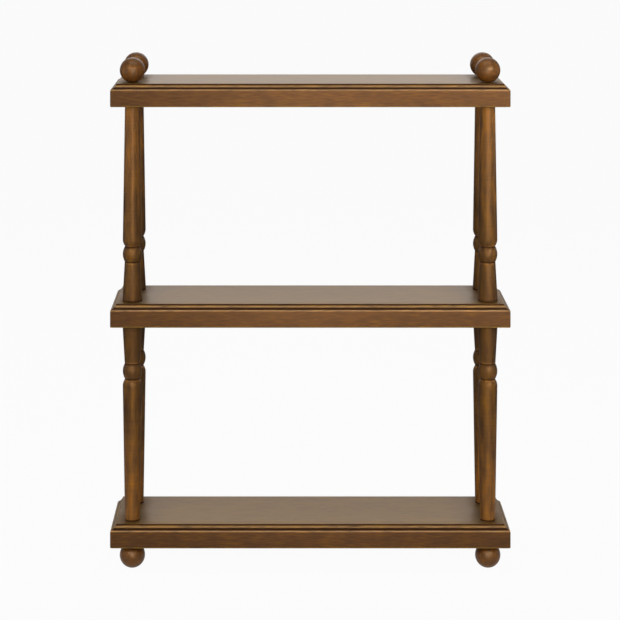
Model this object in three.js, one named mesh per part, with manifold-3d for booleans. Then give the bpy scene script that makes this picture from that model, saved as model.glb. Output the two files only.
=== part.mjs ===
// A three-tier wooden wall shelf: moulded boards held apart by turned spindles,
// with ball finials on the top board and ball feet under the bottom one.
// Millimetres, +Z up, front towards -Y, flat back towards +Y,
// origin on the ground under the middle of the shelf.

import * as THREE from 'three';
import { mergeVertices } from 'three/addons/utils/BufferGeometryUtils.js';
import Module from 'manifold-3d';

const wasm = await Module();
wasm.setup();

// Boards, and the clear height between two of them
const boardWidth = 610;
const boardDepth = 152;
const boardThickness = 35;
const tierHeight = 301;

// Board edge, from the top surface down: a shallow cove, a fillet, an ovolo, and an eased lower edge
const coveHeight = 6.2;
const coveWidth = 4.6;
const coveRadius = 10;
const filletHeight = 0.4;
const ovoloRadius = 4.2;
const easedRadius = 1.5;

// How far the axes of the turned pieces lie in from the board's edges
const sideInset = 32;
const frontInset = 31;
const backInset = 31;

// Spindle, from its foot end: a tapered foot, a bead between two quirks, a shoulder, a long taper
const footRadius = 15.2;
const footNeckRadius = 11.8;
const footLength = 60;
const quirkRadius = 11.2;
const beadRadius = 14.7;
const beadLength = 24.5;
const shoulderRadius = 14.75;
const shoulderLength = 10.5;
const tipRadius = 11.5;
const arris = 0.7;

// Ball finials and ball feet, each with a flat seat and a small flat where it was parted off
const finialRadius = 19.4;
const finialSeatRadius = 5;
const finialCrownRadius = 2.5;
const ballFootRadius = 19.4;
const ballFootSeatRadius = 5;
const ballFootSoleRadius = 4;

// Dowel screws, pointed at both ends, through the boards and into the turned pieces
const screwRadius = 3;
const screwGrip = 22;
const screwPoint = 4;
const screwTipRadius = 0.6;
const screwClearance = 0.3;

// Keyhole slots routed into the back edge of the top board, for the heads of two wall screws
const keyholeSpacing = 406;
const keyholeHeadRadius = 5;
const keyholeNeckRadius = 2.7;
const keyholeTravel = 11;
const keyholeLip = 4;
const keyholeDepth = 10;
const keyholeBelowMiddle = 5.5;

// How finely round forms are divided
const turnedSides = 20;
const screwSides = 10;
const arcSteps = 6;
const mouldingSteps = 4;
const easedSteps = 2;
const cutterOverrun = 5;

// Worked out from the sizes above
const screwHoleRadius = screwRadius + screwClearance;
const screwHoleDepth = screwGrip + screwClearance;
const screwLength = boardThickness + 2 * screwGrip;
const ballFootHeight = ballHeight(ballFootRadius, ballFootSeatRadius, ballFootSoleRadius);
const bottomBoardZ = ballFootHeight;
const middleBoardZ = bottomBoardZ + boardThickness + tierHeight;
const topBoardZ = middleBoardZ + boardThickness + tierHeight;

const finishes = {
  board: new THREE.MeshStandardMaterial({ color: '#76543a', roughness: 0.45, metalness: 0 }),
  spindle: new THREE.MeshStandardMaterial({ color: '#7a5530', roughness: 0.42, metalness: 0 }),
  ball: new THREE.MeshStandardMaterial({ color: '#6e4b2d', roughness: 0.38, metalness: 0 }),
  screw: new THREE.MeshStandardMaterial({ color: '#b9b4a6', roughness: 0.35, metalness: 0.9 }),
};

// Height of a ball between its seat and the flat at its far end
function ballHeight(radius, seatRadius, flatRadius) {
  return Math.sqrt(radius ** 2 - seatRadius ** 2) + Math.sqrt(radius ** 2 - flatRadius ** 2);
}

// The four places where turned pieces stand on a board
function standings() {
  const depths = { front: -boardDepth / 2 + frontInset, back: boardDepth / 2 - backInset };
  const sides = { left: -boardWidth / 2 + sideInset, right: boardWidth / 2 - sideInset };
  return Object.entries(depths).flatMap(([depth, y]) =>
    Object.entries(sides).map(([side, x]) => ({ name: `${depth}_${side}`, x, y })),
  );
}

// A closed geometry as a solid that can be cut and joined
function solidOf(geometry) {
  const bare = geometry.clone();
  bare.deleteAttribute('normal');
  bare.deleteAttribute('uv');
  const merged = mergeVertices(bare, 1e-4);
  return new wasm.Manifold(
    new wasm.Mesh({
      numProp: 3,
      vertProperties: new Float32Array(merged.attributes.position.array),
      triVerts: new Uint32Array(merged.index.array),
    }),
  );
}

// A solid as a geometry with flat facets
function geometryOf(solid) {
  const { vertProperties, triVerts } = solid.getMesh();
  const geometry = new THREE.BufferGeometry();
  geometry.setAttribute('position', new THREE.BufferAttribute(new Float32Array(vertProperties), 3));
  geometry.setIndex(new THREE.BufferAttribute(new Uint32Array(triVerts), 1));
  const faceted = geometry.toNonIndexed();
  faceted.computeVertexNormals();
  return faceted;
}

// Points along a quarter round: at(0) is its start and at(quarter turn) its end
function quarterRound(steps, at) {
  return Array.from({ length: steps + 1 }, (_, step) => at((Math.PI / 2) * (step / steps)));
}

// Points along a hollow of one radius, from one end to the other, sagging to the right of the way there
function hollow([startX, startY], [endX, endY], radius, steps) {
  const chord = Math.hypot(endX - startX, endY - startY);
  const heading = Math.atan2(endY - startY, endX - startX);
  const halfTurn = Math.asin(chord / 2 / radius);
  return Array.from({ length: steps + 1 }, (_, step) => {
    const turn = halfTurn * ((2 * step) / steps - 1);
    const along = chord / 2 + radius * Math.sin(turn);
    const sag = radius * (Math.cos(turn) - Math.cos(halfTurn));
    return [
      startX + along * Math.cos(heading) + sag * Math.sin(heading),
      startY + along * Math.sin(heading) - sag * Math.cos(heading),
    ];
  });
}

// The moulded edge as [inset from the board's edge, height], from the underside up
function edgeProfile() {
  const coveFoot = boardThickness - coveHeight;
  const ovoloFoot = coveFoot - filletHeight - ovoloRadius;
  return [
    ...quarterRound(easedSteps, (turn) => [
      easedRadius * (1 - Math.sin(turn)),
      easedRadius * (1 - Math.cos(turn)),
    ]),
    ...quarterRound(mouldingSteps, (turn) => [
      ovoloRadius * (1 - Math.cos(turn)),
      ovoloFoot + ovoloRadius * Math.sin(turn),
    ]),
    ...hollow(
      [ovoloRadius, coveFoot],
      [ovoloRadius + coveWidth, boardThickness],
      coveRadius,
      mouldingSteps,
    ),
  ];
}

// A bar of an upright outline, as long as asked, centred along Y
function uprightBar(outline, length) {
  const bar = new THREE.ExtrudeGeometry(outline, { depth: length, bevelEnabled: false });
  bar.translate(0, 0, -length / 2);
  bar.rotateX(Math.PI / 2);
  return bar;
}

// The board as its end shows it, moulded at the front and square at the back, running along X
function lengthwiseBar() {
  const moulding = edgeProfile().map(([inset, z]) => new THREE.Vector2(-boardDepth / 2 + inset, z));
  const back = [boardThickness, 0].map((z) => new THREE.Vector2(boardDepth / 2, z));
  return uprightBar(new THREE.Shape([...moulding, ...back]), boardWidth).rotateZ(Math.PI / 2);
}

// The board as its front shows it, moulded at both ends, running along Y
function crosswiseBar() {
  const left = edgeProfile().map(([inset, z]) => new THREE.Vector2(-boardWidth / 2 + inset, z));
  const right = left.map((point) => new THREE.Vector2(-point.x, point.y)).reverse();
  return uprightBar(new THREE.Shape([...left, ...right]), boardDepth);
}

// The clearance hole for a dowel screw, right through a board
function screwHole({ x, y }) {
  const length = boardThickness + 2 * cutterOverrun;
  const hole = new THREE.CylinderGeometry(screwHoleRadius, screwHoleRadius, length, turnedSides);
  hole.rotateX(Math.PI / 2);
  hole.translate(x, y, boardThickness / 2);
  return hole;
}

// A round-ended slot as a router cuts it, upwards by travel, between two depths from the back edge
function routedSlot(radius, travel, nearDepth, farDepth) {
  const outline = new THREE.Shape();
  outline.absarc(0, travel, radius, 0, Math.PI);
  outline.absarc(0, 0, radius, Math.PI, 2 * Math.PI);
  const depth = farDepth - nearDepth;
  const slot = new THREE.ExtrudeGeometry(outline, { depth, bevelEnabled: false, curveSegments: arcSteps });
  slot.rotateX(Math.PI / 2);
  slot.translate(0, boardDepth / 2 - nearDepth, boardThickness / 2 - keyholeBelowMiddle);
  return slot;
}

// A keyhole slot: a round entry for the screw's head, a neck for its shank, and a T behind the lip
function keyhole(x) {
  const entry = solidOf(routedSlot(keyholeHeadRadius, 0, -cutterOverrun, keyholeDepth));
  const neck = solidOf(routedSlot(keyholeNeckRadius, keyholeTravel, -cutterOverrun, keyholeDepth));
  const undercut = solidOf(routedSlot(keyholeHeadRadius, keyholeTravel, keyholeLip, keyholeDepth));
  return entry.add(neck).add(undercut).translate([x, 0, 0]);
}

// A shelf board: mitred moulding round three sides, and holes for the dowel screws
function board({ hangsOnWall = false } = {}) {
  let solid = solidOf(lengthwiseBar()).intersect(solidOf(crosswiseBar()));
  for (const place of standings()) {
    solid = solid.subtract(solidOf(screwHole(place)));
  }
  if (hangsOnWall) {
    solid = solid.subtract(keyhole(-keyholeSpacing / 2)).subtract(keyhole(keyholeSpacing / 2));
  }
  return geometryOf(solid);
}

// A form turned on the lathe, from its outline as [radius, height], standing along Z
function turned(outline, sides = turnedSides) {
  const points = outline.map(([radius, height]) => new THREE.Vector2(radius, height));
  return new THREE.LatheGeometry(points, sides).rotateX(Math.PI / 2);
}

// A shallow round along the spindle: height runs from start, radius swells by rise towards the crest
function swell(start, length, baseRadius, rise, crestAt) {
  const reach = Math.max(crestAt, length - crestAt);
  const arcRadius = (reach ** 2 + rise ** 2) / (2 * rise);
  return Array.from({ length: arcSteps + 1 }, (_, step) => {
    const along = (length * step) / arcSteps;
    const drop = arcRadius - Math.sqrt(arcRadius ** 2 - (along - crestAt) ** 2);
    return [baseRadius + rise - drop, start + along];
  });
}

// A spindle standing on its foot end, with a blind hole for a dowel screw in each end
function turnedSpindle() {
  const beadStart = footLength;
  const shoulderStart = beadStart + beadLength;
  const beadRise = beadRadius - quirkRadius;
  const shoulderRise = shoulderRadius - quirkRadius;
  return turned([
    [0, screwHoleDepth],
    [screwHoleRadius, screwHoleDepth],
    [screwHoleRadius, 0],
    [footRadius - arris, 0],
    [footRadius, arris],
    [footNeckRadius, footLength],
    ...swell(beadStart, beadLength, quirkRadius, beadRise, beadLength / 2),
    ...swell(shoulderStart, shoulderLength, quirkRadius, shoulderRise, shoulderLength).slice(1),
    [tipRadius, tierHeight - arris],
    [tipRadius - arris, tierHeight],
    [screwHoleRadius, tierHeight],
    [screwHoleRadius, tierHeight - screwHoleDepth],
    [0, tierHeight - screwHoleDepth],
  ]);
}

// A ball standing on its seat, with a blind hole in the seat and a small flat opposite
function turnedBall(radius, seatRadius, flatRadius) {
  const centre = Math.sqrt(radius ** 2 - seatRadius ** 2);
  const startTurn = -Math.acos(seatRadius / radius);
  const endTurn = Math.acos(flatRadius / radius);
  const steps = 2 * arcSteps;
  const round = Array.from({ length: steps + 1 }, (_, step) => {
    const turn = startTurn + ((endTurn - startTurn) * step) / steps;
    return [radius * Math.cos(turn), centre + radius * Math.sin(turn)];
  });
  return turned([
    [0, screwHoleDepth],
    [screwHoleRadius, screwHoleDepth],
    [screwHoleRadius, 0],
    ...round,
    [0, ballHeight(radius, seatRadius, flatRadius)],
  ]);
}

// A dowel screw standing on one of its points
function doublePointedScrew() {
  const outline = [
    [0, 0],
    [screwTipRadius, 0],
    [screwRadius, screwPoint],
    [screwRadius, screwLength - screwPoint],
    [screwTipRadius, screwLength],
    [0, screwLength],
  ];
  return turned(outline, screwSides);
}

// A named piece, standing at a place or turned upside down to hang from it
function piece(name, geometry, material, { x = 0, y = 0, z = 0, upsideDown = false } = {}) {
  const mesh = new THREE.Mesh(geometry, material);
  mesh.name = name;
  mesh.position.set(x, y, z);
  mesh.rotation.x = upsideDown ? Math.PI : 0;
  return mesh;
}

const shelf = new THREE.Group();

shelf.add(piece('top_board', board({ hangsOnWall: true }), finishes.board, { z: topBoardZ }));
shelf.add(piece('middle_board', board(), finishes.board, { z: middleBoardZ }));
shelf.add(piece('bottom_board', board(), finishes.board, { z: bottomBoardZ }));

const finial = turnedBall(finialRadius, finialSeatRadius, finialCrownRadius);
const foot = turnedBall(ballFootRadius, ballFootSeatRadius, ballFootSoleRadius);
const spindle = turnedSpindle();
const dowelScrew = doublePointedScrew();
const boardHeights = { top: topBoardZ, middle: middleBoardZ, bottom: bottomBoardZ };

for (const { name, x, y } of standings()) {
  const onTop = { x, y, z: topBoardZ + boardThickness };
  const onMiddle = { x, y, z: middleBoardZ + boardThickness };
  const underMiddle = { x, y, z: middleBoardZ, upsideDown: true };
  const underBottom = { x, y, z: bottomBoardZ, upsideDown: true };
  shelf.add(piece(`finial_${name}`, finial, finishes.ball, onTop));
  shelf.add(piece(`upper_spindle_${name}`, spindle, finishes.spindle, onMiddle));
  shelf.add(piece(`lower_spindle_${name}`, spindle, finishes.spindle, underMiddle));
  shelf.add(piece(`foot_${name}`, foot, finishes.ball, underBottom));
  for (const [level, height] of Object.entries(boardHeights)) {
    const inBoard = { x, y, z: height - screwGrip };
    shelf.add(piece(`dowel_screw_${level}_${name}`, dowelScrew, finishes.screw, inBoard));
  }
}

export default shelf;
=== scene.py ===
"""A three-tier wooden wall shelf: moulded boards held apart by turned spindles.

Ball finials stand on the top board and ball feet under the bottom one. Each joint is drawn
together by a hidden dowel screw, and the shelf hangs by two keyhole slots in its top board.
Metres, +Z up, front towards -Y, flat back towards +Y, origin on the ground under the middle.
"""

import logging
import math
from collections.abc import Callable, Iterable
from dataclasses import dataclass, field
from enum import Enum

import bmesh
import bpy
import numpy as np
from bpy.types import ID, Material, Node, NodeSocket, NodeTree, Object
from mathutils import Matrix, Quaternion, Vector


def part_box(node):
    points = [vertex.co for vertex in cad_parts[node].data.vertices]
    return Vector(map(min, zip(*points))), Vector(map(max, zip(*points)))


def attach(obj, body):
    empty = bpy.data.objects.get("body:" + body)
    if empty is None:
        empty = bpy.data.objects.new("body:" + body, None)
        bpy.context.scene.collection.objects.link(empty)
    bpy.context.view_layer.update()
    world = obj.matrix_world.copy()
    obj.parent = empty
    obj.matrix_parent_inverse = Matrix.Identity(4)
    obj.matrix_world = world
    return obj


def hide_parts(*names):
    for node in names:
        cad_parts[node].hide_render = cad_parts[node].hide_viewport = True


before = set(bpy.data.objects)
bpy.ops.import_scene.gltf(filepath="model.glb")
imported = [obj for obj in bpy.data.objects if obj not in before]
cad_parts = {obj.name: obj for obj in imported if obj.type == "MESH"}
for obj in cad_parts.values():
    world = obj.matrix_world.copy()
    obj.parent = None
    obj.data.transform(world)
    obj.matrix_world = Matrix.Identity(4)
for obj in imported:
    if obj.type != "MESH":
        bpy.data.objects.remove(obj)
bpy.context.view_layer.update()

MM = 0.001
BODY = "root"
MERGE_DISTANCE = 0.002 * MM
SMOOTH_ANGLE = math.radians(32)
# The attribute painted on each piece: how thin the stain was wiped, together with painted shade in
# recesses and where parts meet, and painted highlights along edges.
WIPING_AND_PAINTED_LIGHT = "wiping_and_painted_light"
# Nearly all of a noise's values lie between these.
NOISE_LOW, NOISE_HIGH = 0.3, 0.7
# A face looks along an axis from this much of its normal on, and is level or upright below this.
FACING, UNTILTED = 0.9, 0.01
# A run shorter than this, in metres, is none.
HAIR = 1e-7

PRODUCT = {"operation": "MULTIPLY"}

log = logging.getLogger("wall_shelf")

# A radius or inset with a height, or a place with the value there.
Ring = tuple[float, float]


class WipingAndPaintedLight(Enum):
    """How thin the stain was wiped at a place, from thickly glazed to rubbed nearly bare; the
    glazed end also carries painted shade and the rubbed end painted highlights.
    """

    GLAZED = 0.0
    BODY = 0.45
    FLAT = 0.65
    RUBBED = 1.0


# ---- Outlines ----


def arc(centre: Ring, radius: float, start: float, end: float, steps: int) -> list[Ring]:
    """Points along a round.

    Args:
        centre: The round's centre.
        radius: Its radius.
        start: The turn at its first point, in degrees from the outline's first axis.
        end: The turn at its last point, in degrees.
        steps: How many chords it is divided into.

    Returns:
        The points, both ends among them.
    """
    turns = [math.radians(start + (end - start) * step / steps) for step in range(steps + 1)]
    return [(centre[0] + radius * math.cos(t), centre[1] + radius * math.sin(t)) for t in turns]


def hollow(start: Ring, end: Ring, radius: float, steps: int) -> list[Ring]:
    """Points along a hollow of one radius, sagging to the right of the way from start to end.

    Args:
        start: The hollow's first point.
        end: Its last point.
        radius: The radius that the cutter leaves.
        steps: How many chords it is divided into.

    Returns:
        The points, both ends among them.
    """
    run = Vector(end) - Vector(start)
    half_turn = math.asin(run.length / 2 / radius)
    heading = run.normalized()
    across = Vector((heading.y, -heading.x))
    points = []
    for step in range(steps + 1):
        turn = half_turn * (2 * step / steps - 1)
        along = run.length / 2 + radius * math.sin(turn)
        sag = radius * (math.cos(turn) - math.cos(half_turn))
        points.append(tuple(Vector(start) + heading * along + across * sag))
    return points


def swell(
    start: float, length: float, base: float, rise: float, crest: float, steps: int
) -> list[Ring]:
    """Rings of a shallow round along a turning.

    Args:
        start: The height at which the round starts.
        length: Its length along the turning.
        base: The radius that it rises from.
        rise: How far it rises.
        crest: Where along it the crest lies.
        steps: How many chords it is divided into.

    Returns:
        The rings as (radius, height), both ends among them.
    """
    reach = max(crest, length - crest)
    radius = (reach**2 + rise**2) / (2 * rise)
    rings = []
    for step in range(steps + 1):
        along = length * step / steps
        drop = radius - math.sqrt(radius**2 - (along - crest) ** 2)
        rings.append((base + rise - drop, start + along))
    return rings


def taper(start: Ring, end: Ring, heights: Iterable[float]) -> list[Ring]:
    """Points along a straight stretch of an outline.

    Args:
        start: Its first point.
        end: Its last point, higher up.
        heights: Where points are wanted; those outside the stretch are passed over.

    Returns:
        The points between its ends, from the first one up.
    """
    slope = (end[0] - start[0]) / (end[1] - start[1])
    between = [height for height in heights if start[1] < height < end[1]]
    return [(start[0] + slope * (height - start[1]), height) for height in between]


# ---- The bench ----


def clear_selection() -> None:
    """Deselects every object, so that an operator acts on the next one alone."""
    if bpy.context.mode != "OBJECT":
        bpy.ops.object.mode_set(mode="OBJECT")
    bpy.ops.object.select_all(action="DESELECT")


def take_up(obj: Object) -> None:
    """Selects one object alone and makes it the active one.

    Args:
        obj: The object.
    """
    clear_selection()
    obj.select_set(True)
    bpy.context.view_layer.objects.active = obj


class Workpiece:
    """One mesh on the bench, shaped in edit mode and settled at the origin when it is done."""

    def __init__(self, name: str) -> None:
        """Takes up the primitive that was just added and opens it for shaping.

        Args:
            name: The piece's name.
        """
        self.obj = bpy.context.active_object
        self.obj.name = self.obj.data.name = name
        bpy.ops.object.transform_apply(location=True, rotation=True, scale=True)
        take_up(self.obj)
        bpy.ops.object.mode_set(mode="EDIT")
        bpy.ops.mesh.select_mode(type="FACE")
        bpy.ops.mesh.select_all(action="SELECT")

    @classmethod
    def disc(
        cls, name: str, radius: float, sides: int, centre: Vector, tilt: float = 0.0
    ) -> "Workpiece":
        """Starts a turned piece from a disc.

        Args:
            name: The piece's name.
            radius: The disc's radius.
            sides: How many sides the turning has.
            centre: The disc's centre.
            tilt: How far it is tipped forward from level.

        Returns:
            The piece, with the disc selected.
        """
        clear_selection()
        bpy.ops.mesh.primitive_circle_add(
            vertices=sides, radius=radius, fill_type="NGON", location=centre, rotation=(tilt, 0, 0)
        )
        return cls(name)

    @classmethod
    def plate(cls, name: str, width: float, depth: float, centre: Vector) -> "Workpiece":
        """Starts a flat piece from a level rectangle.

        Args:
            name: The piece's name.
            width: The rectangle's size along X.
            depth: Its size along Y.
            centre: Its centre.

        Returns:
            The piece, with the rectangle selected.
        """
        clear_selection()
        bpy.ops.mesh.primitive_plane_add(size=1, location=centre)
        piece = cls(name)
        piece.resize((width, depth, 1), centre)
        return piece

    def extrude(self, step: Iterable[float]) -> None:
        """Draws the selected faces out by a step."""
        bpy.ops.mesh.extrude_region_move(TRANSFORM_OT_translate={"value": tuple(step)})

    def resize(self, factors: tuple[float, float, float], centre: Vector) -> None:
        """Scales what is selected about a point."""
        bpy.ops.transform.resize(value=factors, center_override=centre)

    def pick_edges(self, wanted: Callable[[bmesh.types.BMEdge], bool]) -> None:
        """Selects the edges that pass a test, and no others.

        Args:
            wanted: The test.
        """
        bpy.ops.mesh.select_mode(type="EDGE")
        mesh = bmesh.from_edit_mesh(self.obj.data)
        for edge in mesh.edges:
            edge.select_set(False)
        for edge in [e for e in mesh.edges if wanted(e)]:
            edge.select_set(True)
        bmesh.update_edit_mesh(self.obj.data)

    def bevel(self, width: float, segments: int) -> None:
        """Rounds the selected edges."""
        bpy.ops.mesh.bevel(offset=width, segments=segments, affect="EDGES", clamp_overlap=False)

    def make_sound(self) -> None:
        """Merges doubled points and turns every face outwards."""
        bpy.ops.mesh.select_all(action="SELECT")
        bpy.ops.mesh.remove_doubles(threshold=MERGE_DISTANCE)
        bpy.ops.mesh.normals_make_consistent(inside=False)

    def cut(self, cutter: "Workpiece") -> None:
        """Takes a cutter's shape out of the piece.

        Args:
            cutter: The cutter, which is thrown away afterwards.
        """
        take_up(self.obj)
        boolean = self.obj.modifiers.new("cut", "BOOLEAN")
        boolean.operation = "DIFFERENCE"
        boolean.solver = "EXACT"
        boolean.object = cutter.obj
        bpy.ops.object.modifier_apply(modifier=boolean.name)
        bpy.data.meshes.remove(cutter.obj.data)

    def close(self) -> Object:
        """Leaves edit mode and shades the piece smooth up to its arrises.

        Returns:
            The finished piece.
        """
        take_up(self.obj)
        bpy.ops.object.transform_apply(location=True, rotation=True, scale=True)
        bpy.ops.object.shade_smooth_by_angle(angle=SMOOTH_ANGLE)
        return self.obj


def wipe_by_height(
    piece: Object, foot: float, marks: list[Ring], evenness: Callable[[Vector], Ring] | None = None
) -> None:
    """Paints on a piece how thin the stain was wiped, by height, together with the painted shade
    and painted highlights that the marks carry.

    Args:
        piece: The finished piece.
        foot: The height that the marks are counted from.
        marks: Thinness at heights above the foot, as (height, thinness) from the foot up.
        evenness: Tells by a face's normal how far it was wiped even, from 0 to 1, and how thin;
            without it, no face was.
    """
    heights, thinness = zip(*marks)
    paint = piece.data.attributes.new(WIPING_AND_PAINTED_LIGHT, "FLOAT", "CORNER")
    for face in piece.data.polygons:
        share, even = evenness(face.normal) if evenness else (0.0, 0.0)
        for corner, vertex in zip(face.loop_indices, face.vertices):
            wiped_and_painted = np.interp(piece.data.vertices[vertex].co.z - foot, heights, thinness)
            paint.data[corner].value = wiped_and_painted + (even - wiped_and_painted) * share


def turn_on_lathe(name: str, outline: list[Ring], sides: int) -> Workpiece:
    """Turns a piece standing on the origin, drawing it out ring by ring.

    Args:
        name: The piece's name.
        outline: Its rings as (radius, height), from one cap to the other.
        sides: How many sides the turning has.

    Returns:
        The closed piece, open in edit mode.
    """
    (radius, height), *rings = outline
    piece = Workpiece.disc(name, radius, sides, Vector((0, 0, height)))
    for next_radius, next_height in rings:
        piece.extrude((0, 0, next_height - height))
        factor = next_radius / radius
        piece.resize((factor, factor, 1), Vector((0, 0, next_height)))
        radius, height = next_radius, next_height
    piece.make_sound()
    return piece


def copied(pattern: Object, name: str, place: Matrix) -> Object:
    """Copies a piece to a place of its own.

    Args:
        pattern: The piece that was modelled.
        name: The copy's name.
        place: Where it goes, as a matrix that is taken up by the copy's own mesh.

    Returns:
        The copy, with its object at the origin.
    """
    take_up(pattern)
    bpy.ops.object.duplicate(linked=False)
    copy = bpy.context.active_object
    copy.name = copy.data.name = name
    copy.matrix_world = place
    bpy.ops.object.transform_apply(location=True, rotation=True, scale=True)
    return copy


def hand_over(piece: Object, node: str, material: Material) -> None:
    """Dresses a finished piece and lets it stand for its node of the frame.

    Args:
        piece: The finished piece.
        node: The node that it stands for.
        material: Its finish.
    """
    piece.data.materials.clear()
    piece.data.materials.append(material)
    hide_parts(node)
    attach(piece, BODY)
    log.info("%s: %d faces, %s", piece.name, len(piece.data.polygons), material.name)


# ---- Finishes ----


def linear(hex_colour: str) -> tuple[float, float, float, float]:
    """Turns an sRGB colour into the linear values that a shader takes.

    Args:
        hex_colour: The colour, as #rrggbb.

    Returns:
        Red, green, blue and full alpha.
    """
    channels = [int(hex_colour[i : i + 2], 16) / 255 for i in (1, 3, 5)]
    flat = [c / 12.92 if c <= 0.04045 else ((c + 0.055) / 1.055) ** 2.4 for c in channels]
    return (*flat, 1.0)


def add_node(
    tree: NodeTree, kind: str, settings: dict | None = None, inputs: dict | None = None
) -> Node:
    """Adds a node with its settings, values and links.

    Args:
        tree: The node tree.
        kind: The node's type name, after its usual first word.
        settings: Properties of the node itself, by name.
        inputs: Values for its sockets or output sockets to link to them, by name or number.

    Returns:
        The node.
    """
    node = tree.nodes.new(f"ShaderNode{kind}")
    for name, value in (settings or {}).items():
        setattr(node, name, value)
    for name, value in (inputs or {}).items():
        if isinstance(value, NodeSocket):
            tree.links.new(value, node.inputs[name])
        else:
            node.inputs[name].default_value = value
    return node


def ramp_ends(first: Ring, last: Ring) -> dict[str, float]:
    """Sets the two ends of a Map Range node, each as (value taken, value given)."""
    return {"From Min": first[0], "From Max": last[0], "To Min": first[1], "To Max": last[1]}


@dataclass(frozen=True)
class StainedWood:
    """Walnut stain wiped on close-grained beech, under a satin lacquer.

    How thin the stain was wiped is painted on each piece, together with painted light, and it gives
    the eye the colour: nearly black brown and dull in the recesses, which is glaze and painted
    shade, mid brown on the edges, a greener gold on the broad flats, and pale gold where an edge
    was rubbed back, which is wear and painted highlight. The grain drinks it unevenly, so the
    colour wavers in fine straight streaks and soft clouds, whose lighter flecks are warmer. The
    lacquer's broad, amber sheen pales at low angles. Round each joint the upward faces carry
    painted shade, darker and duller, where the spindles would shade them and block their
    reflections.
    """

    name: str
    # The first colour is the dark of glaze and painted shade in recesses; the last is the pale of
    # rubbed wear and painted highlights.
    glazed_and_shaded: str
    body: str
    flat: str
    rubbed_and_highlit: str
    # Rays and pores are 0.1 to 0.3 mm wide, too fine to show: drawn 1.2 mm wide or more.
    streak: Vector
    cloud: Vector
    glint: str = "#ffb87d"
    roughness: float = 0.42
    glaze_roughness: float = 0.9
    ior: float = 1.5
    lustre: float = 0.8
    # How far a fleck shifts the wiping, the shade and the warmth of the colour.
    waver: float = 0.06
    shading: float = 0.7
    warming: float = 0.1
    streak_share: float = 0.35
    streak_detail: float = 3.0
    cloud_detail: float = 2.0
    # The turning tool leaves rings 0.3 mm apart, too fine to show: drawn 1.2 mm apart.
    turning_pitch: float | None = None
    turning_width: float = 150 * MM
    turning_share: float = 0.16
    turning_detail: float = 1.0
    relief: float = 0.06 * MM
    # How far the flecks are evened out on upward faces.
    wiped_even: float = 0.0
    # The painted shade round the joint at joint_place and its mirror images, and its share of the
    # depth.
    joint_painted_shade: float = 0.0
    joint_place: Vector = Vector((0, 0, 0))
    joint_spread: float = 0.35
    joint_radius: float = 12 * MM
    joint_reach: float = 70 * MM
    joint_falloff: float = 2.0

    def pattern(self, tree: NodeTree, sizes: Vector, detail: float) -> NodeSocket:
        """Adds a noise on the piece's own coordinates, drawn out along the grain.

        Args:
            tree: The material's node tree.
            sizes: The size of one fleck along each axis of the shelf.
            detail: How much finer noise is laid over it.

        Returns:
            The noise's value.
        """
        coordinates = add_node(tree, "TexCoord").outputs["Object"]
        inputs = {"Vector": coordinates, "Scale": tuple(1 / size for size in sizes)}
        mapping = add_node(tree, "Mapping", inputs=inputs)
        inputs = {"Vector": mapping.outputs["Vector"], "Scale": 1.0, "Detail": detail}
        return add_node(tree, "TexNoise", inputs=inputs).outputs["Fac"]

    def levelness(self, tree: NodeTree) -> NodeSocket:
        """Adds a value that is one on upward faces and nothing on the rest.

        Args:
            tree: The material's node tree.

        Returns:
            The value.
        """
        normal = add_node(tree, "TexCoord").outputs["Normal"]
        facing = add_node(tree, "SeparateXYZ", inputs={"Vector": normal})
        inputs = {"Value": facing.outputs["Z"], **ramp_ends((FACING, 0.0), (1.0, 1.0))}
        return add_node(tree, "MapRange", inputs=inputs).outputs["Result"]

    def painted_joint_shade(self, tree: NodeTree) -> NodeSocket:
        """Adds painted shade on an upward face round the four joints, where the spindles would
        shade it and block its reflections.

        Args:
            tree: The material's node tree.

        Returns:
            The share of the colour and the sheen that it leaves.
        """
        place = add_node(tree, "TexCoord").outputs["Object"]
        steps = {
            "ABSOLUTE": {},
            "SUBTRACT": {1: self.joint_place},
            "MULTIPLY": {1: (1, self.joint_spread, 0)},
        }
        for operation, operand in steps.items():
            inputs = {0: place, **operand}
            step = add_node(tree, "VectorMath", {"operation": operation}, inputs)
            place = step.outputs["Vector"]
        distance = add_node(tree, "VectorMath", {"operation": "LENGTH"}, {0: place})
        ends = ramp_ends((self.joint_radius, 1.0), (self.joint_reach, 0.0))
        inputs = {"Value": distance.outputs["Value"], **ends}
        nearness = add_node(tree, "MapRange", inputs=inputs)
        inputs = {0: nearness.outputs["Result"], 1: self.joint_falloff}
        curve = add_node(tree, "Math", {"operation": "POWER"}, inputs)
        inputs = {0: self.levelness(tree), 1: curve.outputs["Value"]}
        upward = add_node(tree, "Math", PRODUCT, inputs)
        inputs = {0: upward.outputs["Value"], 1: self.joint_painted_shade}
        taken = add_node(tree, "Math", PRODUCT, inputs)
        inputs = {0: 1.0, 1: taken.outputs["Value"]}
        left = add_node(tree, "Math", {"operation": "SUBTRACT"}, inputs)
        return left.outputs["Value"]

    def spread(self, tree: NodeTree, noise: NodeSocket, middle: float, reach: float) -> NodeSocket:
        """Spreads a noise's usual values over a range of its own.

        Args:
            tree: The material's node tree.
            noise: The noise's value.
            middle: The middle of the range.
            reach: How far the range reaches to either side.

        Returns:
            The spread value.
        """
        ends = ramp_ends((NOISE_LOW, middle - reach), (NOISE_HIGH, middle + reach))
        inputs = {"Value": noise, **ends}
        return add_node(tree, "MapRange", inputs=inputs).outputs["Result"]

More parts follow.
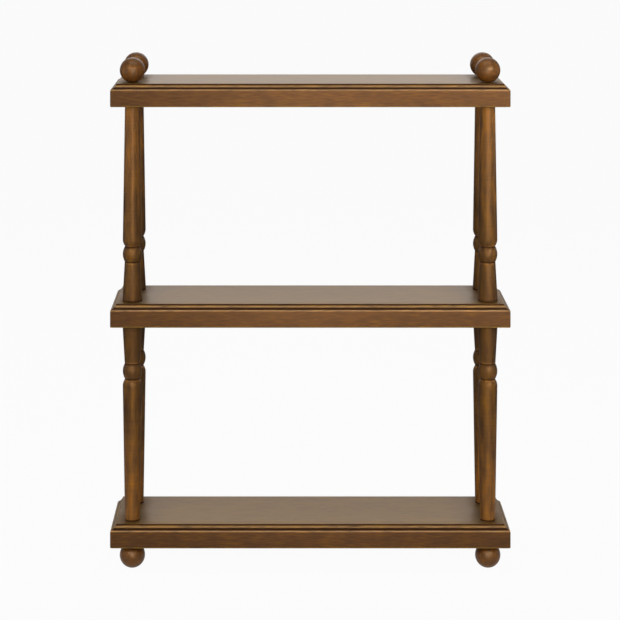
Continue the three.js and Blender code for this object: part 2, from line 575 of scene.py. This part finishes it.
    def flecks(self, tree: NodeTree, streaks: NodeSocket) -> NodeSocket:
        """Adds the flecks in which the grain drank the stain.

        Args:
            tree: The material's node tree.
            streaks: The grain's streaks.

        Returns:
            A value that is high where the wood stayed light.
        """
        clouds = self.pattern(tree, self.cloud, self.cloud_detail)
        inputs = {"Factor": self.streak_share, "A": clouds, "B": streaks}
        fleck = add_node(tree, "Mix", inputs=inputs).outputs["Result"]
        if self.turning_pitch:
            sizes = Vector((self.turning_width, self.turning_width, self.turning_pitch))
            rings = self.pattern(tree, sizes, self.turning_detail)
            inputs = {"Factor": self.turning_share, "A": fleck, "B": rings}
            fleck = add_node(tree, "Mix", inputs=inputs).outputs["Result"]
        if self.wiped_even:
            inputs = {0: self.levelness(tree), 1: self.wiped_even}
            evenness = add_node(tree, "Math", PRODUCT, inputs).outputs["Value"]
            inputs = {"Factor": evenness, "A": fleck, "B": (NOISE_LOW + NOISE_HIGH) / 2}
            fleck = add_node(tree, "Mix", inputs=inputs).outputs["Result"]
        return fleck

    def material(self) -> Material:
        """Builds the finish as a node material.

        Returns:
            The material.
        """
        material = bpy.data.materials.new(self.name)
        material.use_nodes = True
        tree = material.node_tree
        shader = tree.nodes["Principled BSDF"]
        streaks = self.pattern(tree, self.streak, self.streak_detail)
        fleck = self.flecks(tree, streaks)
        wiped_and_painted = add_node(tree, "Attribute", {"attribute_name": WIPING_AND_PAINTED_LIGHT})
        inputs = {0: wiped_and_painted.outputs["Fac"], 1: self.spread(tree, fleck, 0, self.waver)}
        thinness = add_node(tree, "Math", inputs=inputs)
        # The ramp runs from glaze and painted shade, through the edge and flat colours, to rubbed
        # wear and painted highlights.
        ramp = add_node(tree, "ValToRGB", inputs={"Fac": thinness.outputs["Value"]})
        stops = ramp.color_ramp.elements
        stops[0].position, stops[0].color = WipingAndPaintedLight.GLAZED.value, linear(self.glazed_and_shaded)
        stops[1].position, stops[1].color = WipingAndPaintedLight.RUBBED.value, linear(self.rubbed_and_highlit)
        for wiping_and_painted_light, colour in ((WipingAndPaintedLight.BODY, self.body), (WipingAndPaintedLight.FLAT, self.flat)):
            stops.new(wiping_and_painted_light.value).color = linear(colour)
        tone = self.spread(tree, fleck, 1, self.shading)
        sheen = thinness.outputs["Value"]
        # Painted shade round the joints darkens the colour and dulls the sheen.
        if self.joint_painted_shade:
            left = self.painted_joint_shade(tree)
            tone, sheen = (
                add_node(tree, "Math", PRODUCT, {0: value, 1: left}).outputs["Value"]
                for value in (tone, sheen)
            )
        inputs = {
            "Color": ramp.outputs["Color"],
            "Saturation": self.spread(tree, fleck, 1, self.warming),
            "Value": tone,
        }
        shaded = add_node(tree, "HueSaturation", inputs=inputs)
        tree.links.new(shaded.outputs["Color"], shader.inputs["Base Color"])
        dull = (WipingAndPaintedLight.GLAZED.value, self.glaze_roughness)
        inputs = {"Value": sheen, **ramp_ends(dull, (WipingAndPaintedLight.BODY.value, self.roughness))}
        dulling = add_node(tree, "MapRange", inputs=inputs)
        tree.links.new(dulling.outputs["Result"], shader.inputs["Roughness"])
        shader.inputs["IOR"].default_value = self.ior
        shader.inputs["Specular IOR Level"].default_value = self.lustre
        shader.inputs["Specular Tint"].default_value = linear(self.glint)
        inputs = {"Height": streaks, "Strength": 1.0, "Distance": self.relief}
        bump = add_node(tree, "Bump", inputs=inputs)
        tree.links.new(bump.outputs["Normal"], shader.inputs["Normal"])
        return material


@dataclass(frozen=True)
class ZincPlate:
    """Bright zinc on steel wire: pale bluish silver, dulled a little by its passivation."""

    name: str = "bright_zinc_on_steel"
    colour: str = "#b9b9b4"
    roughness: float = 0.34

    def material(self) -> Material:
        """Builds the finish as a node material.

        Returns:
            The material.
        """
        material = bpy.data.materials.new(self.name)
        material.use_nodes = True
        shader = material.node_tree.nodes["Principled BSDF"]
        shader.inputs["Base Color"].default_value = linear(self.colour)
        shader.inputs["Metallic"].default_value = 1.0
        shader.inputs["Roughness"].default_value = self.roughness
        return material


# ---- Sub-assemblies ----


@dataclass
class MouldedBoard:
    """A shelf board with a cove and ovolo round its front and sides, and a flat back."""

    node: str
    hangs_on_wall: bool = False
    cove_height: float = 6.2 * MM
    cove_width: float = 4.6 * MM
    cove_radius: float = 10 * MM
    fillet_height: float = 0.4 * MM
    ovolo_radius: float = 4.2 * MM
    eased_radius: float = 1.5 * MM
    arris_radius: float = 0.35 * MM
    corner_rounding: float = 1.0 * MM
    eased_steps: int = 5
    ovolo_steps: int = 10
    cove_steps: int = 12
    corner_steps: int = 3
    cutter_sides: int = 32
    end_evenness: float = 0.9
    screw_hole_radius: float = 3.3 * MM
    keyhole_spacing: float = 406 * MM
    keyhole_head_radius: float = 5 * MM
    keyhole_neck_radius: float = 2.7 * MM
    keyhole_travel: float = 11 * MM
    keyhole_lip: float = 4 * MM
    keyhole_depth: float = 10 * MM
    keyhole_below_middle: float = 5.5 * MM
    low: Vector = field(init=False)
    high: Vector = field(init=False)

    def __post_init__(self) -> None:
        """Takes the board's place from the frame."""
        self.low, self.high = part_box(self.node)

    def edge_profile(self) -> list[Ring]:
        """Draws the moulded edge.

        Returns:
            Its points as (inset from the board's edge, height), from the underside up.
        """
        thickness = self.high.z - self.low.z
        cove_foot = thickness - self.cove_height
        ovolo_foot = cove_foot - self.fillet_height - self.ovolo_radius
        arris = (self.ovolo_radius + self.cove_width, thickness)
        cove = hollow((self.ovolo_radius, cove_foot), arris, self.cove_radius, self.cove_steps)
        # The top arris is worn round: shares of its radius in and down from its corner.
        worn = [
            (arris[0] + self.arris_radius * inward, thickness - self.arris_radius * down)
            for inward, down in ((-0.3, 1.0), (0.2, 0.25), (1.0, 0.0))
        ]
        marks = [height for height, _ in self.wiping_and_painted_light()]
        return [
            *arc((self.eased_radius,) * 2, self.eased_radius, 270, 180, self.eased_steps),
            *taper((0, self.eased_radius), (0, ovolo_foot), marks),
            *arc((self.ovolo_radius, ovolo_foot), self.ovolo_radius, 180, 90, self.ovolo_steps),
            *cove[:-1],
            *worn,
        ]

    def wiping_and_painted_light(self) -> list[Ring]:
        """Tells how thin the stain was wiped, with painted light: glaze and painted shade in the
        recesses and under the top arris, rubbed bands and painted highlights along the ovolo, in
        the cove and on the lower edge.

        Returns:
            The marks as (height, thinness), from the underside up.
        """
        glazed_and_shaded, body, flat, rubbed_and_highlit = (wiping_and_painted_light.value for wiping_and_painted_light in WipingAndPaintedLight)
        thickness = self.high.z - self.low.z
        cove_foot = thickness - self.cove_height
        ovolo_foot = cove_foot - self.fillet_height - self.ovolo_radius
        # A painted highlight in the cove.
        cove_highlight = rubbed_and_highlit - 0.12
        # A painted highlight band along the lower eased edge.
        eased_highlight = ((0, body), (0.15, flat), (0.9, flat), (1.4, body))
        # A painted highlight on the ovolo's lower half, and painted shade in the crevice above it.
        ovolo = ((0.15, body), (0.4, rubbed_and_highlit), (0.58, rubbed_and_highlit), (0.78, glazed_and_shaded))
        # Painted shade at both ends of the cove, and a painted highlight between them.
        cove = (
            (0.1, glazed_and_shaded),
            (0.18, flat),
            (0.3, cove_highlight),
            (0.42, cove_highlight),
            (0.55, flat),
            (0.76, glazed_and_shaded),
        )
        return [
            *((self.eased_radius * share, thinness) for share, thinness in eased_highlight),
            *((ovolo_foot + self.ovolo_radius * share, thinness) for share, thinness in ovolo),
            *((cove_foot + self.cove_height * share, thinness) for share, thinness in cove),
            # Painted shade just under the top arris.
            (thickness - self.arris_radius, glazed_and_shaded),
            (thickness, flat),
        ]

    def evenness(self, normal: Vector) -> Ring:
        """Tells how a face was wiped even: the back and the underside wholly.

        Args:
            normal: The face's normal.

        Returns:
            How far it was wiped even, and how thin.
        """
        if normal.y > FACING or normal.z < -FACING:
            return 1.0, WipingAndPaintedLight.BODY.value
        is_sloping = UNTILTED < normal.z < 1 - UNTILTED
        is_end_moulding = is_sloping and abs(normal.x) > abs(normal.y)
        return (self.end_evenness if is_end_moulding else 0.0), WipingAndPaintedLight.FLAT.value

    def mould(self) -> Workpiece:
        """Draws the board up from its underside, step by step along its edge profile.

        Returns:
            The closed board, open in edit mode.
        """
        back_middle = Vector(((self.low.x + self.high.x) / 2, self.high.y, self.low.z))
        width, depth = self.high.x - self.low.x, self.high.y - self.low.y
        (inset, height), *steps = self.edge_profile()
        centre = back_middle - Vector((0, (depth - inset) / 2, 0))
        board = Workpiece.plate(self.node, width - 2 * inset, depth - inset, centre)
        for next_inset, next_height in steps:
            board.extrude((0, 0, next_height - height))
            factors = (
                (width - 2 * next_inset) / (width - 2 * inset),
                (depth - next_inset) / (depth - inset),
                1,
            )
            board.resize(factors, back_middle + Vector((0, 0, next_height)))
            inset, height = next_inset, next_height
        board.make_sound()
        return board

    def round_corners(self, board: Workpiece) -> None:
        """Rounds the two front corners over the whole height of the edge.

        Args:
            board: The board.
        """
        front_half = (self.low.y + self.high.y) / 2

        def climbs_a_front_corner(edge: bmesh.types.BMEdge) -> bool:
            """Tells whether an edge lies on the mitre at a front corner.

            Args:
                edge: The edge.

            Returns:
                Whether it does.
            """
            start, end = (vertex.co for vertex in edge.verts)
            run = end - start
            level_along_an_axis = abs(run.z) < HAIR and min(abs(run.x), abs(run.y)) < HAIR
            return not level_along_an_axis and max(start.y, end.y) < front_half

        board.pick_edges(climbs_a_front_corner)
        board.bevel(self.corner_rounding, self.corner_steps)

    def bore(self, board: Workpiece, place: Vector) -> None:
        """Bores the clearance hole of a dowel screw right through the board.

        Args:
            board: The board.
            place: A point on the hole's axis.
        """
        foot = Vector((place.x, place.y, self.low.z - self.cove_height))
        drill = Workpiece.disc("drill", self.screw_hole_radius, self.cutter_sides, foot)
        drill.extrude((0, 0, self.high.z - self.low.z + 2 * self.cove_height))
        drill.make_sound()
        board.cut(drill)

    def rout(
        self, board: Workpiece, entry: Vector, radius: float, travel: float, near: float
    ) -> None:
        """Routs a round-ended slot into the back edge.

        Args:
            board: The board.
            entry: The middle of the slot's lower end, on the back face.
            radius: The cutter's radius.
            travel: How far up the cutter runs.
            near: How far in from the back face the slot starts; negative is outside it.
        """
        start = entry - Vector((0, near, 0))
        cutter = Workpiece.disc("router_cutter", radius, self.cutter_sides, start, math.pi / 2)
        mesh = bmesh.from_edit_mesh(cutter.obj.data)
        for vertex in mesh.verts:
            if vertex.co.z > entry.z + MERGE_DISTANCE:
                vertex.co.z += travel
        bmesh.update_edit_mesh(cutter.obj.data)
        cutter.extrude((0, near - self.keyhole_depth, 0))
        cutter.make_sound()
        board.cut(cutter)

    def rout_keyholes(self, board: Workpiece) -> None:
        """Routs the two keyhole slots that the shelf hangs by.

        Args:
            board: The board.
        """
        height = (self.low.z + self.high.z) / 2 - self.keyhole_below_middle
        overrun = -self.keyhole_lip
        for side in (-1, 1):
            entry = Vector((side * self.keyhole_spacing / 2, self.high.y, height))
            self.rout(board, entry, self.keyhole_head_radius, 0, overrun)
            self.rout(board, entry, self.keyhole_neck_radius, self.keyhole_travel, overrun)
            self.rout(board, entry, self.keyhole_head_radius, self.keyhole_travel, self.keyhole_lip)

    def build(self, screw_places: list[Vector]) -> Object:
        """Makes the board with its holes.

        Args:
            screw_places: Where dowel screws go through it.

        Returns:
            The finished board.
        """
        board = self.mould()
        self.round_corners(board)
        for place in screw_places:
            self.bore(board, place)
        if self.hangs_on_wall:
            self.rout_keyholes(board)
        finished = board.close()
        wipe_by_height(finished, self.low.z, self.wiping_and_painted_light(), self.evenness)
        return finished


@dataclass
class TurnedSpindle:
    """A spindle with a tapered foot, a bead between two quirks, a shoulder and a long taper."""

    length: float
    foot_radius: float = 15.2 * MM
    foot_neck_radius: float = 11.8 * MM
    foot_length: float = 60 * MM
    neck_flare: float = 0.1 * MM
    neck_edge: float = 0.3 * MM
    neck_undercut: float = 0.15 * MM
    quirk_radius: float = 11.2 * MM
    bead_radius: float = 14.7 * MM
    bead_length: float = 24.5 * MM
    shoulder_radius: float = 14.75 * MM
    shoulder_length: float = 10.5 * MM
    tip_radius: float = 11.5 * MM
    arris: float = 0.7 * MM
    screw_hole_radius: float = 3.3 * MM
    screw_hole_depth: float = 22.3 * MM
    sides: int = 64
    arris_steps: int = 4
    bead_steps: int = 18
    shoulder_steps: int = 10

    def outline(self) -> list[Ring]:
        """Draws the turning.

        Returns:
            Its rings as (radius, height), from the hole in its foot to the one in its tip.
        """
        quirk = self.quirk_radius
        bead_rise, shoulder_rise = self.bead_radius - quirk, self.shoulder_radius - quirk
        heel = (self.foot_radius - self.arris, self.arris)
        foot_arris = arc(heel, self.arris, 270, 360, self.arris_steps)
        neck = (self.foot_neck_radius + self.neck_flare, self.foot_length - self.neck_edge)
        middle = self.bead_length / 2
        bead = swell(self.foot_length, self.bead_length, quirk, bead_rise, middle, self.bead_steps)
        start, crest = self.foot_length + self.bead_length, self.shoulder_length
        shoulder = swell(start, crest, quirk, shoulder_rise, crest, self.shoulder_steps)
        tip = (self.tip_radius - self.arris, self.length - self.arris)
        tip_arris = arc(tip, self.arris, 0, 90, self.arris_steps)
        marks = [height for height, _ in self.wiping_and_painted_light()]
        return [
            (self.screw_hole_radius, self.screw_hole_depth),
            (self.screw_hole_radius, 0),
            *foot_arris,
            *taper(foot_arris[-1], neck, marks),
            neck,
            (self.foot_neck_radius - self.neck_undercut, self.foot_length),
            *bead,
            *shoulder[1:],
            *taper(shoulder[-1], tip_arris[0], marks),
            *tip_arris,
            (self.screw_hole_radius, self.length),
            (self.screw_hole_radius, self.length - self.screw_hole_depth),
        ]

    def wiping_and_painted_light(self) -> list[Ring]:
        """Tells how thin the stain was wiped, with painted light: glaze and painted shade in the
        quirks, painted shade where both ends meet the boards, painted highlight lines beside the
        quirks, darker towards the foot and lighter towards the tip.

        Returns:
            The marks as (height, thinness), from the foot up.
        """
        glazed_and_shaded, body, flat, _ = (wiping_and_painted_light.value for wiping_and_painted_light in WipingAndPaintedLight)
        # The painted shade at the foot's end fades up through this.
        fading_base_shade = body - 0.12
        # A painted highlight line beside each quirk.
        edge = flat + 0.05
        shoulder = self.foot_length + self.bead_length
        # Each place along the turning, with the marks that lie some millimetres from it.
        places = (
            (0, ((0, glazed_and_shaded), (1.5, glazed_and_shaded), (4.5, fading_base_shade))),
            (self.foot_length, ((-3, body), (-1, edge), (0, glazed_and_shaded), (0.5, glazed_and_shaded), (3, body))),
            (shoulder, ((-3, body), (-0.5, glazed_and_shaded), (0, glazed_and_shaded), (1, edge), (3, body))),
            (shoulder + self.shoulder_length * 4, ((0, body),)),
            (self.length, ((-8, flat), (-3, flat), (-1, glazed_and_shaded), (0, glazed_and_shaded))),
        )
        return [
            (place + step * MM, thinness) for place, steps in places for step, thinness in steps
        ]

    def build(self) -> Object:
        """Turns the pattern spindle.

        Returns:
            The finished pattern, standing on the origin.
        """
        spindle = turn_on_lathe("spindle_pattern", self.outline(), self.sides).close()
        wipe_by_height(spindle, 0, self.wiping_and_painted_light())
        return spindle


@dataclass
class TurnedBall:
    """A ball with a flat seat, a blind hole for its screw, and a small flat at its far end."""

    name: str
    radius: float = 19.4 * MM
    seat_radius: float = 5 * MM
    flat_radius: float = 4 * MM
    screw_hole_radius: float = 3.3 * MM
    screw_hole_depth: float = 22.3 * MM
    # How far up from the seat the painted shade reaches.
    seat_painted_shade: float = 1.5 * MM
    sides: int = 64
    steps: int = 40

    def outline(self) -> list[Ring]:
        """Draws the turning.

        Returns:
            Its rings as (radius, height), from its blind hole over the ball to its far flat.
        """
        centre = (0.0, math.sqrt(self.radius**2 - self.seat_radius**2))
        start = -math.degrees(math.acos(self.seat_radius / self.radius))
        end = math.degrees(math.acos(self.flat_radius / self.radius))
        return [
            (self.screw_hole_radius, self.screw_hole_depth),
            (self.screw_hole_radius, 0),
            *arc(centre, self.radius, start, end, self.steps),
        ]

    def wiping_and_painted_light(self) -> list[Ring]:
        """How thin the stain was wiped, by height: painted shade round the seat, where it meets the
        board.
        """
        body = WipingAndPaintedLight.BODY.value
        return [(0, WipingAndPaintedLight.GLAZED.value), (self.seat_painted_shade, body), (2 * self.radius, body)]

    def build(self) -> Object:
        """Turns the pattern ball.

        Returns:
            The finished pattern, standing on its seat at the origin.
        """
        ball = turn_on_lathe(self.name, self.outline(), self.sides).close()
        wipe_by_height(ball, 0, self.wiping_and_painted_light())
        return ball


@dataclass
class Shelf:
    """The whole shelf, made piece by piece in the places that the frame gives."""

    board_wood: Material
    spindle_wood: Material
    ball_wood: Material
    zinc: Material
    corners: tuple[str, ...] = ("front_left", "front_right", "back_left", "back_right")

    def axis_of(self, node: str) -> Vector:
        """The point on the ground under a turned piece's axis."""
        low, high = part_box(node)
        return Vector(((low.x + high.x) / 2, (low.y + high.y) / 2, 0))

    def place_of(self, node: str, upside_down: bool) -> Matrix:
        """Finds where a pattern that stands on the origin goes.

        Args:
            node: The node whose place it fills.
            upside_down: Whether it hangs head down there.

        Returns:
            The place, as a matrix.
        """
        low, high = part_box(node)
        end = high.z if upside_down else low.z
        place = Matrix.Translation(self.axis_of(node) + Vector((0, 0, end)))
        return place @ Matrix.Rotation(math.pi, 4, "X") if upside_down else place

    def build_boards(self) -> None:
        """Makes the three boards."""
        places = [self.axis_of(f"foot_{corner}") for corner in self.corners]
        for node in ("top_board", "middle_board", "bottom_board"):
            board = MouldedBoard(node, hangs_on_wall=node == "top_board").build(places)
            board.name = f"moulded_{node}"
            hand_over(board, node, self.board_wood)

    def build_turnings(
        self, pattern: Object, kinds: dict[str, bool], material: Material
    ) -> None:
        """Copies a turned pattern to every corner.

        Args:
            pattern: The pattern, which is thrown away afterwards.
            kinds: Whether each kind of node holds it upside down, by the node's first words.
            material: Its finish.
        """
        for kind, upside_down in kinds.items():
            for corner in self.corners:
                node = f"{kind}_{corner}"
                copy = copied(pattern, f"turned_{node}", self.place_of(node, upside_down))
                hand_over(copy, node, material)
        bpy.data.meshes.remove(pattern.data)

    def build(self) -> None:
        """Makes every piece of the shelf."""
        self.build_boards()
        low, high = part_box("upper_spindle_front_left")
        spindle = TurnedSpindle(high.z - low.z).build()
        kinds = {"upper_spindle": False, "lower_spindle": True}
        self.build_turnings(spindle, kinds, self.spindle_wood)
        finial = TurnedBall("finial_pattern", flat_radius=2.5 * MM).build()
        self.build_turnings(finial, {"finial": False}, self.ball_wood)
        foot = TurnedBall("foot_pattern").build()
        self.build_turnings(foot, {"foot": True}, self.ball_wood)
        for name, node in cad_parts.items():
            if name.startswith("dowel_screw"):
                node.data.materials.clear()
                node.data.materials.append(self.zinc)
                log.info("%s: kept from the frame, %s", name, self.zinc.name)


# ---- Studio ----


def set_down(name: str, data: ID | None, place: Vector, turn: Quaternion) -> Object:
    """Adds a lamp, a camera or an empty to the scene.

    Args:
        name: Its name.
        data: The lamp or the camera; an empty has none.
        place: Where it goes.
        turn: How it is turned.

    Returns:
        Its object.
    """
    holder = bpy.data.objects.new(name, data)
    holder.location = place
    holder.rotation_mode = "QUATERNION"
    holder.rotation_quaternion = turn
    bpy.context.scene.collection.objects.link(holder)
    return holder


# Where the lamps are aimed, and how wide their light fans out in degrees, bare and gridded.
MIDDLE = Vector((0, 0, 0.4))
LEFT = Vector((-0.5, 0, 0.4))
RIGHT = Vector((0.5, 0, 0.4))
UPPER_RIGHT = Vector((0.5, 0, 0.65))
OPEN, GRID = 180.0, 36.0


@dataclass(frozen=True)
class Softbox:
    """A rectangular soft lamp.

    A grid over it keeps its light within its spread, and so throws it much further ahead. A lamp
    that isn't glossy lights the shelf without showing as a highlight.
    """

    name: str
    place: tuple[float, float, float]
    width: float
    height: float
    watts: float
    aim: Vector = MIDDLE
    spread: float = OPEN
    glossy: bool = True

    def hang(self) -> None:
        """Adds the lamp to the scene."""
        name = f"{self.name}_softbox"
        lamp = bpy.data.lights.new(name, "AREA")
        lamp.shape = "RECTANGLE"
        lamp.size, lamp.size_y = self.width, self.height
        lamp.energy = self.watts
        lamp.spread = math.radians(self.spread)
        place = Vector(self.place)
        turn = (self.aim - place).to_track_quat("-Z", "Y")
        holder = set_down(name, lamp, place, turn)
        holder.visible_camera = False
        holder.visible_glossy = self.glossy


@dataclass(frozen=True)
class ViewCamera:
    """A view camera whose back stands upright while its lens looks down at the shelf.

    Uprights then stay parallel, as on a product sheet. The tilt of the back is a slant that no
    plain camera has, so a holder of uneven scale carries it, and the camera rides on that.
    """

    place: Vector = Vector((-0.0432, -3.3884, 1.0897))
    aim: Vector = Vector((-0.0005, -0.0760, 0.4011))
    # The width of the view at the aim.
    field_width: float = 0.944
    sensor: float = 36.0
    clip: Ring = (0.1, 100.0)

    def set_up(self) -> None:
        """Adds the camera and its holder, and makes it the scene's camera."""
        sight = self.aim - self.place
        ahead = sight.normalized()
        slanted = np.array([[1, 0, -ahead.x], [0, 0, -ahead.y], [0, 1, -ahead.z]])
        turn_out, stretch, turn_in = np.linalg.svd(slanted)
        if np.linalg.det(turn_out) < 0:
            turn_out[:, 2] *= -1
            turn_in[2, :] *= -1
        turn = Matrix(turn_out.tolist()).to_quaternion()
        holder = set_down("camera_back", None, self.place, turn)
        holder.scale = stretch.tolist()
        lens = bpy.data.cameras.new("view_camera")
        lens.sensor_width = self.sensor
        lens.lens = self.sensor * sight.length / self.field_width
        lens.clip_start, lens.clip_end = self.clip
        turn = Matrix(turn_in.tolist()).to_quaternion()
        camera = set_down("view_camera", lens, Vector(), turn)
        camera.parent = holder
        bpy.context.scene.camera = camera


@dataclass(frozen=True)
class Studio:
    """A white room: a pale floor, a white surround and soft lamps on every side."""

    white: str = "#fafafa"
    room_light: float = 0.04
    # How bright the lacquer sees the surround, by how far to the back it lies.
    room_gloss: tuple[Ring, Ring] = ((0.5, 0.3), (1.0, 0.76))
    # How bright it sees the floor, by the place along Y, and the share left further aside: a
    # painted pool of lamp light on the floor in front, seen only in reflections.
    floor_gloss: tuple[Ring, ...] = ((-2.0, 0.25), (-0.3, 0.55), (0.05, 0.55), (0.2, 0.15))
    floor_gloss_sides: tuple[Ring, Ring] = ((0.7, 1.0), (1.4, 0.3))
    # The floor glows this much to diffuse rays: painted bounce light up onto the shelf.
    floor_light: float = 0.35
    floor_share: float = 0.03
    floor_size: float = 40.0
    lamps: tuple[Softbox, ...] = (
        Softbox("high_front", (0, -2.5, 1.25), 0.7, 0.7, 15),
        Softbox("low_front", (0, -2.5, 0.2), 0.7, 0.7, 17),
        Softbox("far_left", (-1.9, -1.6, 0.45), 0.8, 0.8, 0.25, LEFT, GRID),
        Softbox("high_left", (-1.2, -2.1, 1.45), 0.8, 0.8, 1.1, LEFT, GRID),
        Softbox("low_right", (1.3, -2.0, 0.45), 0.8, 0.8, 0.5, RIGHT, GRID),
        Softbox("high_right", (1.2, -2.0, 1.4), 0.8, 0.8, 2.0, UPPER_RIGHT, GRID),
        Softbox("left_side", (-1.3, -0.2, 0.6), 0.6, 0.6, 1.2),
        Softbox("right_side", (1.3, -0.2, 0.6), 0.6, 0.6, 1.1),
        Softbox("overhead", (0, -0.5, 2.4), 1.8, 1.0, 11.4),
        Softbox("back", (0, 1.7, 2.1), 1.8, 1.0, 4),
        Softbox("far_back", (0, 2.4, 1.6), 1.8, 1.0, 5),
        Softbox("rear_left", (-1.0, 2.4, 0.6), 0.7, 0.7, 0.8, MIDDLE, GRID, False),
        Softbox("rear_right", (1.0, 2.4, 0.6), 0.7, 0.7, 0.8, MIDDLE, GRID, False),
    )

    def paint_room(self) -> None:
        """Makes the surround: white to the eye, plain soft light to the shelf."""
        world = bpy.data.worlds.new("white_room")
        world.use_nodes = True
        tree = world.node_tree
        tree.nodes.clear()
        rays = add_node(tree, "LightPath")
        direction = add_node(tree, "TexCoord").outputs["Generated"]
        axes = add_node(tree, "SeparateXYZ", inputs={"Vector": direction})
        inputs = {"Value": axes.outputs["Y"], **ramp_ends(*self.room_gloss)}
        smooth = {"interpolation_type": "SMOOTHSTEP"}
        behind = add_node(tree, "MapRange", smooth, inputs)
        strength = self.room_light
        shares = {"Is Glossy Ray": behind.outputs["Result"], "Is Camera Ray": 1.0}
        for kind, share in shares.items():
            inputs = {"Factor": rays.outputs[kind], "A": strength, "B": share}
            strength = add_node(tree, "Mix", inputs=inputs).outputs["Result"]
        inputs = {"Color": linear(self.white), "Strength": strength}
        light = add_node(tree, "Background", inputs=inputs)
        add_node(tree, "OutputWorld", inputs={"Surface": light.outputs["Background"]})
        bpy.context.scene.world = world

    def lay_floor(self) -> None:
        """Lays the pale floor, which is white by itself and still takes a soft shadow. It also
        glows as painted bounce light onto the shelf, and in reflections as a painted pool of lamp
        light in front.
        """
        clear_selection()
        bpy.ops.mesh.primitive_plane_add(size=self.floor_size)
        floor = bpy.context.active_object
        floor.name = "floor"
        material = bpy.data.materials.new("matt_white_floor")
        material.use_nodes = True
        tree = material.node_tree
        tree.nodes.clear()
        rays = add_node(tree, "LightPath")
        place = add_node(tree, "TexCoord").outputs["Object"]
        axes = add_node(tree, "SeparateXYZ", inputs={"Vector": place})
        (first, first_gloss), *_, (last, last_gloss) = self.floor_gloss
        inputs = {"Value": axes.outputs["Y"], **ramp_ends((first, 0.0), (last, 1.0))}
        depth = add_node(tree, "MapRange", inputs=inputs)
        gloss = add_node(tree, "ValToRGB", inputs={"Fac": depth.outputs["Result"]})
        stops = gloss.color_ramp.elements
        stops[0].color = (first_gloss,) * 3 + (1,)
        stops[1].color = (last_gloss,) * 3 + (1,)
        for middle, middle_gloss in self.floor_gloss[1:-1]:
            stop = stops.new((middle - first) / (last - first))
            stop.color = (middle_gloss,) * 3 + (1,)
        aside = add_node(tree, "Math", {"operation": "ABSOLUTE"}, {0: axes.outputs["X"]})
        inputs = {"Value": aside.outputs["Value"], **ramp_ends(*self.floor_gloss_sides)}
        fading = add_node(tree, "MapRange", inputs=inputs)
        inputs = {0: gloss.outputs["Color"], 1: fading.outputs["Result"]}
        sheen = add_node(tree, "Math", PRODUCT, inputs)
        strength = rays.outputs["Is Camera Ray"]
        shares = {"Is Glossy Ray": sheen.outputs["Value"], "Is Diffuse Ray": self.floor_light}
        for kind, share in shares.items():
            inputs = {0: rays.outputs[kind], 1: share, 2: strength}
            added = add_node(tree, "Math", {"operation": "MULTIPLY_ADD"}, inputs)
            strength = added.outputs["Value"]
        inputs = {"Color": linear(self.white), "Strength": strength}
        glow = add_node(tree, "Emission", inputs=inputs)
        colour = [channel * self.floor_share for channel in linear(self.white)[:3]]
        paint = add_node(tree, "BsdfDiffuse", inputs={"Color": (*colour, 1)})
        inputs = {0: glow.outputs["Emission"], 1: paint.outputs["BSDF"]}
        both = add_node(tree, "AddShader", inputs=inputs)
        add_node(tree, "OutputMaterial", inputs={"Surface": both.outputs["Shader"]})
        floor.data.materials.append(material)

    def set_up(self) -> None:
        """Sets up the room, the floor, the lamps, the camera and the plain colour transform."""
        self.paint_room()
        self.lay_floor()
        for lamp in self.lamps:
            lamp.hang()
        ViewCamera().set_up()
        bpy.context.scene.view_settings.view_transform = "Standard"


def main() -> None:
    """Builds the shelf and its studio."""
    logging.basicConfig(level=logging.INFO, format="%(name)s: %(message)s")
    low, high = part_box("foot_back_right")
    joint = Vector(((low.x + high.x) / 2, (low.y + high.y) / 2, 0))
    # In each wood below, the darkest colour is glaze and painted shade and the palest is rubbed
    # wear and painted highlights; the board's joint setting is painted shade round the joints.
    board_wood = StainedWood(
        "satin_lacquer_on_stained_beech_board",
        streak=Vector((18, 5, 1.2)) * MM,
        cloud=Vector((45, 25, 16)) * MM,
        streak_share=0.7,
        shading=0.68,
        waver=0.03,
        warming=0.15,
        glazed_and_shaded="#170a03",
        body="#3e2715",
        flat="#795d26",
        rubbed_and_highlit="#907056",
        wiped_even=0.7,
        joint_painted_shade=0.6,
        joint_place=joint,
    )
    spindle_wood = StainedWood(
        "satin_lacquer_on_stained_beech_spindle",
        streak=Vector((1.2, 1.2, 45)) * MM,
        cloud=Vector((9, 9, 40)) * MM,
        glazed_and_shaded="#180b03",
        body="#4a3215",
        flat="#734b22",
        rubbed_and_highlit="#94703c",
        turning_pitch=1.2 * MM,
    )
    ball_wood = StainedWood(
        "satin_lacquer_on_stained_beech_ball",
        streak=Vector((1.4, 1.4, 12)) * MM,
        cloud=Vector((6, 6, 10)) * MM,
        shading=0.45,
        glint="#ffd2a4",
        roughness=0.38,
        glazed_and_shaded="#170a03",
        body="#603a16",
        flat="#6d4420",
        rubbed_and_highlit="#94703c",
    )
    shelf = Shelf(
        board_wood.material(), spindle_wood.material(), ball_wood.material(), ZincPlate().material()
    )
    shelf.build()
    Studio().set_up()


if __name__ == "__main__":
    main()
